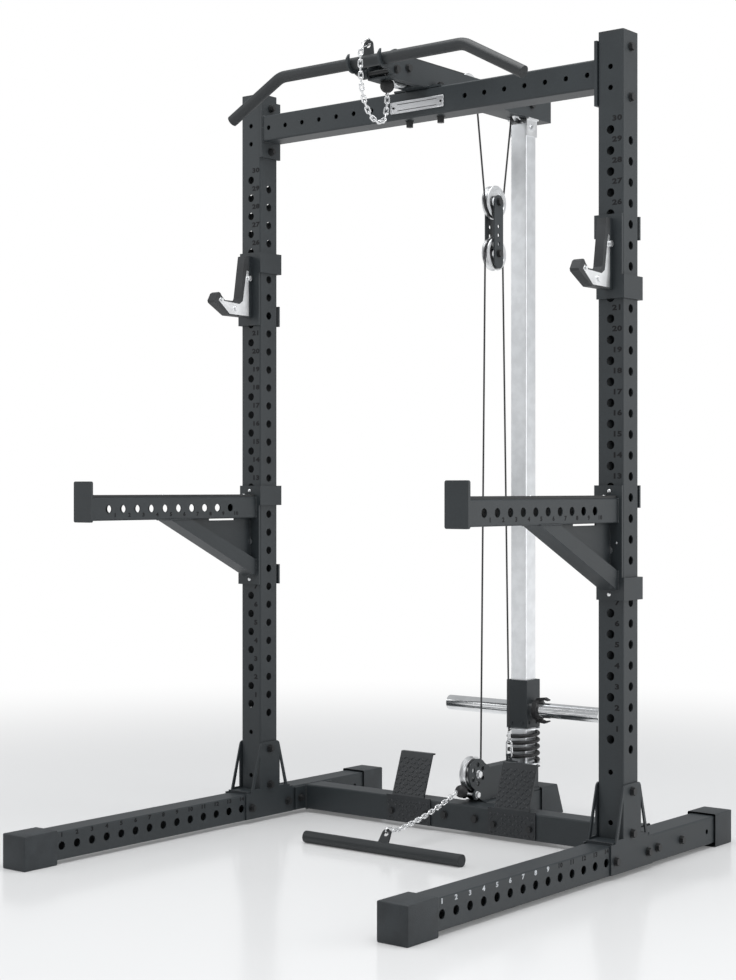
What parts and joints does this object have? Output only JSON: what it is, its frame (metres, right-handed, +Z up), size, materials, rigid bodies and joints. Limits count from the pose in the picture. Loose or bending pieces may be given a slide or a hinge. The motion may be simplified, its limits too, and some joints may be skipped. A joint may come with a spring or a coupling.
{
  "type": "half rack with cable tower",
  "caption": "Half rack with two drilled uprights on long feet, J-hooks, spotter arms, a rear cable tower with a plate carriage, a lat bar and a low row bar.",
  "frame": {"origin": "on the floor, under the middle of the whole footprint (centre of the bounding box in X and Y)", "axes": "+Z up, +X to the right of someone facing the rack from its open front, -Y towards the open front where the lifter stands, +Y towards the cable tower"},
  "size_m": [1.246, 1.49, 2.0397],
  "materials": {
    "frame_coat": "satin fine-texture powder coat",
    "tread_plate": "satin powder coat over raised diamond tread",
    "rubber_cap": "matt moulded rubber",
    "black_plastic": "matt moulded plastic",
    "bright_chrome": "polished chrome plate",
    "zinc": "bright zinc plate",
    "black_bolt": "black oxide",
    "wheel_alloy": "turned",
    "cable_jacket": "smooth black jacket",
    "plate_alloy": "brushed",
    "spring_black": "black oxide",
    "nylon": "natural nylon"
  },
  "bodies": {
    "frame": {"left_upright": "frame_coat", "right_upright": "frame_coat", "left_leg": "frame_coat", "right_leg": "frame_coat", "saddle_brackets": "frame_coat", "base_crossmember": "frame_coat", "rear_leg": "frame_coat", "top_crossbeam": "frame_coat", "lat_beam": "frame_coat", "bar_storage_hooks": "frame_coat", "mast": "bright_chrome", "mast_foot": "frame_coat", "mast_top_bracket": "zinc", "low_pulley_bracket": "frame_coat", "footplates": "tread_plate", "foot_caps": "rubber_cap", "upright_caps": "black_plastic", "nameplate": "plate_alloy", "bumper_spring": "spring_black", "spring_washers": "bright_chrome", "pulley_axles": "zinc", "frame_bolts": "black_bolt", "cable_fixed_runs": "cable_jacket", "cable_anchor": "zinc", "lat_ball": "rubber_cap"},
    "weight_carriage": {"carriage_block": "frame_coat", "slide_liners": "nylon", "weight_sleeves": "bright_chrome", "upper_cable_tail": "cable_jacket"},
    "sleeve_clip": {"spring_clip": "black_plastic"},
    "float_block": {"float_plates": "frame_coat", "float_bolts": "zinc", "float_cable_wraps": "cable_jacket", "upper_cable_falls": "cable_jacket", "lower_cable_falls": "cable_jacket"},
    "front_wheel": {"front_pulley": "wheel_alloy"},
    "middle_wheel": {"middle_pulley": "wheel_alloy"},
    "rear_wheel": {"rear_pulley": "wheel_alloy"},
    "low_wheel": {"low_pulley": "wheel_alloy"},
    "float_upper_wheel": {"float_upper_pulley": "wheel_alloy"},
    "float_lower_wheel": {"float_lower_pulley": "wheel_alloy"},
    "row_handle": {"row_bar": "frame_coat", "row_chain": "zinc", "row_ball": "rubber_cap"},
    "lat_handle": {"lat_bar": "frame_coat", "lat_chain": "zinc"},
    "left_hook_pin_body": {"left_hook_pin": "zinc"},
    "left_hook_body": {"left_hook_bracket": "frame_coat", "left_hook_liner": "black_plastic", "left_hook_plates": "zinc"},
    "left_spotter_pin_body": {"left_spotter_pin": "zinc"},
    "left_spotter_body": {"left_spotter_arm": "frame_coat", "left_spotter_strip": "black_plastic"},
    "right_hook_pin_body": {"right_hook_pin": "zinc"},
    "right_hook_body": {"right_hook_bracket": "frame_coat", "right_hook_liner": "black_plastic", "right_hook_plates": "zinc"},
    "right_spotter_pin_body": {"right_spotter_pin": "zinc"},
    "right_spotter_body": {"right_spotter_arm": "frame_coat", "right_spotter_strip": "black_plastic"}
  },
  "joints": [
    {"name": "carriage_lift", "type": "slide", "parent": "frame", "child": "weight_carriage", "axis": [0, 0, 1], "range_m": [0, 1], "deforming": ["upper_cable_tail"]},
    {"name": "clip_slide", "type": "slide", "parent": "weight_carriage", "child": "sleeve_clip", "axis": [1, 0, 0], "range_m": [0, 0.19]},
    {"name": "float_travel", "type": "slide", "parent": "frame", "child": "float_block", "axis": [0, 0, 1], "range_m": [-0.5, 0], "deforming": ["upper_cable_falls", "lower_cable_falls"]},
    {"name": "row_handle_pull", "type": "slide", "parent": "frame", "child": "row_handle", "axis": [0, -1, 0], "range_m": [0, 1]},
    {"name": "front_wheel_spin", "type": "hinge", "parent": "frame", "child": "front_wheel", "pos_m": [0, 0.022, 1.98], "axis": [1, 0, 0], "continuous": true},
    {"name": "middle_wheel_spin", "type": "hinge", "parent": "frame", "child": "middle_wheel", "pos_m": [0, 0.326, 1.98], "axis": [1, 0, 0], "continuous": true},
    {"name": "rear_wheel_spin", "type": "hinge", "parent": "frame", "child": "rear_wheel", "pos_m": [0, 0.587, 1.98], "axis": [1, 0, 0], "continuous": true},
    {"name": "low_wheel_spin", "type": "hinge", "parent": "frame", "child": "low_wheel", "pos_m": [0, 0.349, 0.155], "axis": [1, 0, 0], "continuous": true},
    {"name": "float_upper_spin", "type": "hinge", "parent": "float_block", "child": "float_upper_wheel", "pos_m": [0, 0.454, 1.697], "axis": [1, 0, 0], "continuous": true},
    {"name": "float_lower_spin", "type": "hinge", "parent": "float_block", "child": "float_lower_wheel", "pos_m": [0, 0.454, 1.557], "axis": [1, 0, 0], "continuous": true},
    {"name": "lat_bar_lift", "type": "slide", "parent": "frame", "child": "lat_handle", "axis": [0, 0, 1], "range_m": [0, 0.06], "deforming": ["lat_chain"]},
    {"name": "left_hook_height", "type": "slide", "parent": "frame", "child": "left_hook_pin_body", "axis": [0, 0, 1], "range_m": [-0.35, 0.25]},
    {"name": "left_hook_roll", "type": "hinge", "parent": "left_hook_pin_body", "child": "left_hook_body", "pos_m": [-0.575, 0.1, 1.472], "axis": [0, 1, 0], "range_deg": [0, 90]},
    {"name": "left_spotter_height", "type": "slide", "parent": "frame", "child": "left_spotter_pin_body", "axis": [0, 0, 1], "range_m": [-0.3, 0.3]},
    {"name": "left_spotter_roll", "type": "hinge", "parent": "left_spotter_pin_body", "child": "left_spotter_body", "pos_m": [-0.575, 0.1, 0.772], "axis": [0, 1, 0], "range_deg": [0, 90]},
    {"name": "right_hook_height", "type": "slide", "parent": "frame", "child": "right_hook_pin_body", "axis": [0, 0, 1], "range_m": [-0.35, 0.25]},
    {"name": "right_hook_roll", "type": "hinge", "parent": "right_hook_pin_body", "child": "right_hook_body", "pos_m": [0.575, 0.1, 1.472], "axis": [0, 1, 0], "range_deg": [-90, 0]},
    {"name": "right_spotter_height", "type": "slide", "parent": "frame", "child": "right_spotter_pin_body", "axis": [0, 0, 1], "range_m": [-0.3, 0.3]},
    {"name": "right_spotter_roll", "type": "hinge", "parent": "right_spotter_pin_body", "child": "right_spotter_body", "pos_m": [0.575, 0.1, 0.772], "axis": [0, 1, 0], "range_deg": [-90, 0]}
  ],
  "couplings": [
    {"joint": "float_travel", "follows": "carriage_lift", "ratio": -0.5},
    {"joint": "row_handle_pull", "follows": "carriage_lift", "ratio": 1},
    {"joint": "rear_wheel_spin", "follows": "carriage_lift", "rad_per_m": 23.809},
    {"joint": "low_wheel_spin", "follows": "carriage_lift", "rad_per_m": -23.809},
    {"joint": "float_upper_spin", "follows": "carriage_lift", "rad_per_m": -11.905},
    {"joint": "float_lower_spin", "follows": "carriage_lift", "rad_per_m": 11.905}
  ]
}
